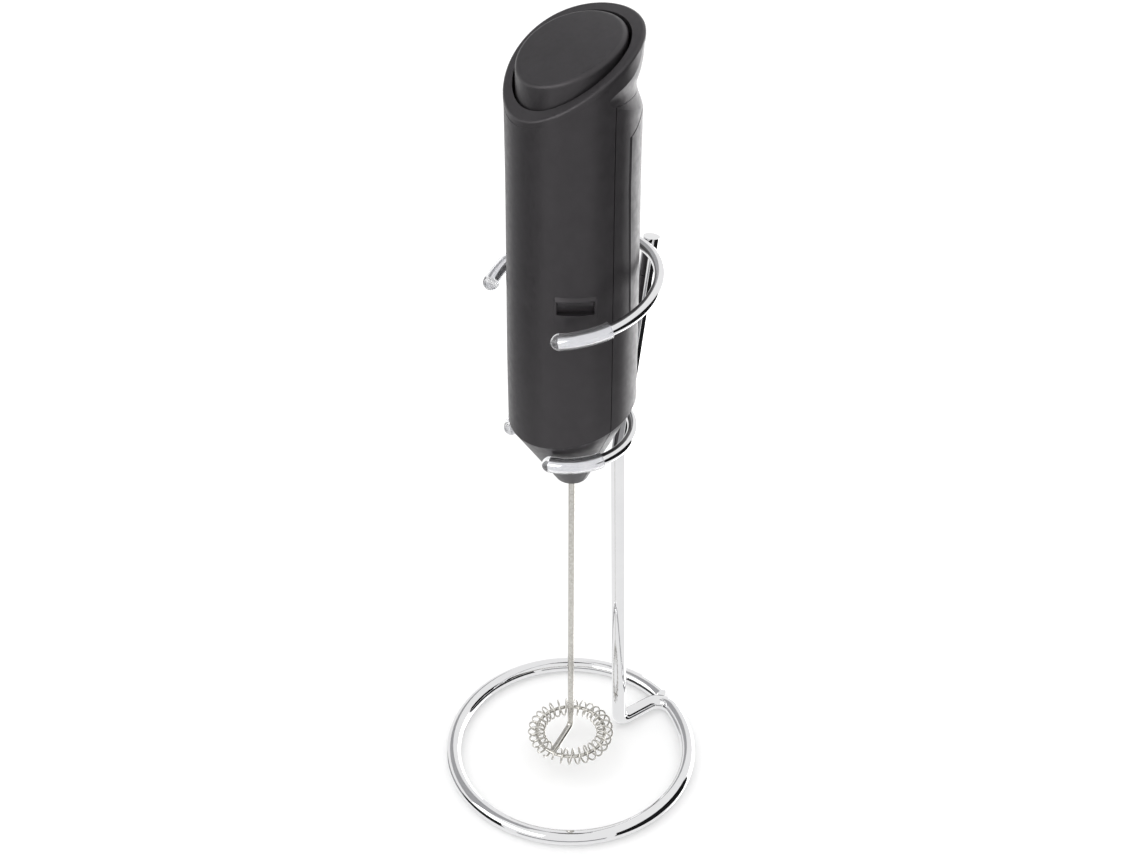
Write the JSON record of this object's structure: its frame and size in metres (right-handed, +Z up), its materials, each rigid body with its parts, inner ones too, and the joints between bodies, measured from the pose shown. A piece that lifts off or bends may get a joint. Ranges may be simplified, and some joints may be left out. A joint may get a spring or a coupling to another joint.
{
  "type": "milk frother",
  "caption": "Battery milk frother: round handle with a slanted top button and a spiral ring whisk, standing in a bent wire stand with open holder rings.",
  "frame": {"origin": "on the table, at the centre of the stand's base ring and on the whisk shaft's axis", "axes": "+Z up along the whisk shaft; the stand's post is at +Y, the open mouths of the holder rings and the low side of the slanted top face -Y"},
  "size_m": [0.0744, 0.0744, 0.2257],
  "materials": {
    "chrome_wire": "polished chrome plate",
    "clear_vinyl": "clear soft vinyl, glossy",
    "shell_plastic": "satin charcoal ABS",
    "button_plastic": "satin charcoal ABS",
    "inner_plastic": "plain moulded plastic",
    "cell_jacket": "printed foil jacket, unprinted here",
    "contact_metal": "nickel plated",
    "spring_steel": "bright",
    "motor_steel": "zinc plated",
    "bush_metal": "dull sintered metal",
    "magnet": "ferrite",
    "winding_copper": "enamelled copper",
    "lead_red": "insulation",
    "lead_black": "insulation",
    "whisk_steel": "stainless steel"
  },
  "bodies": {
    "stand": {"stand_wire": "chrome_wire", "upper_holder_ring": "chrome_wire", "lower_holder_ring": "chrome_wire", "upper_sleeve_left": "clear_vinyl", "upper_sleeve_right": "clear_vinyl", "lower_sleeve_left": "clear_vinyl", "lower_sleeve_right": "clear_vinyl"},
    "handle": {"front_shell": "shell_plastic", "rear_shell": "shell_plastic", "inner_chassis": "inner_plastic", "battery_left": "cell_jacket", "battery_right": "cell_jacket", "contact_flat": "contact_metal", "contact_bridge": "contact_metal", "contact_spring": "contact_metal", "switch_body": "inner_plastic", "button_spring": "spring_steel", "motor_can": "motor_steel", "motor_end_cap": "inner_plastic", "motor_front_bush": "bush_metal", "motor_rear_bush": "bush_metal", "motor_magnets": "magnet", "motor_brushes": "bush_metal", "motor_terminals": "contact_metal", "lead_red": "lead_red", "lead_black": "lead_black", "nose_bushing": "bush_metal"},
    "battery_cover": {"battery_cover": "shell_plastic"},
    "button": {"top_button": "button_plastic", "switch_plunger": "inner_plastic"},
    "whisk": {"motor_shaft": "spring_steel", "rotor_core": "motor_steel", "rotor_windings": "winding_copper", "commutator": "winding_copper", "shaft_coupling": "inner_plastic", "whisk_shaft": "whisk_steel", "whisk_coil": "whisk_steel"}
  },
  "joints": [
    {"name": "handle_lift", "type": "slide", "parent": "stand", "child": "handle", "axis": [0, 0, 1], "range_m": [0, 0.17]},
    {"name": "button_press", "type": "slide", "parent": "handle", "child": "button", "axis": [0, 0, -1], "range_m": [0, 0.0018], "stiffness_N_per_m": 300, "springref_m": -0.004, "deforming": ["button_spring"]},
    {"name": "whisk_spin", "type": "hinge", "parent": "handle", "child": "whisk", "pos_m": [0, 0, 0.1], "axis": [0, 0, -1], "continuous": true},
    {"name": "cover_tilt", "type": "hinge", "parent": "handle", "child": "battery_cover", "pos_m": [0, 0.0161, 0.1548], "axis": [-1, 0, 0], "range_deg": [0, 12]}
  ]
}
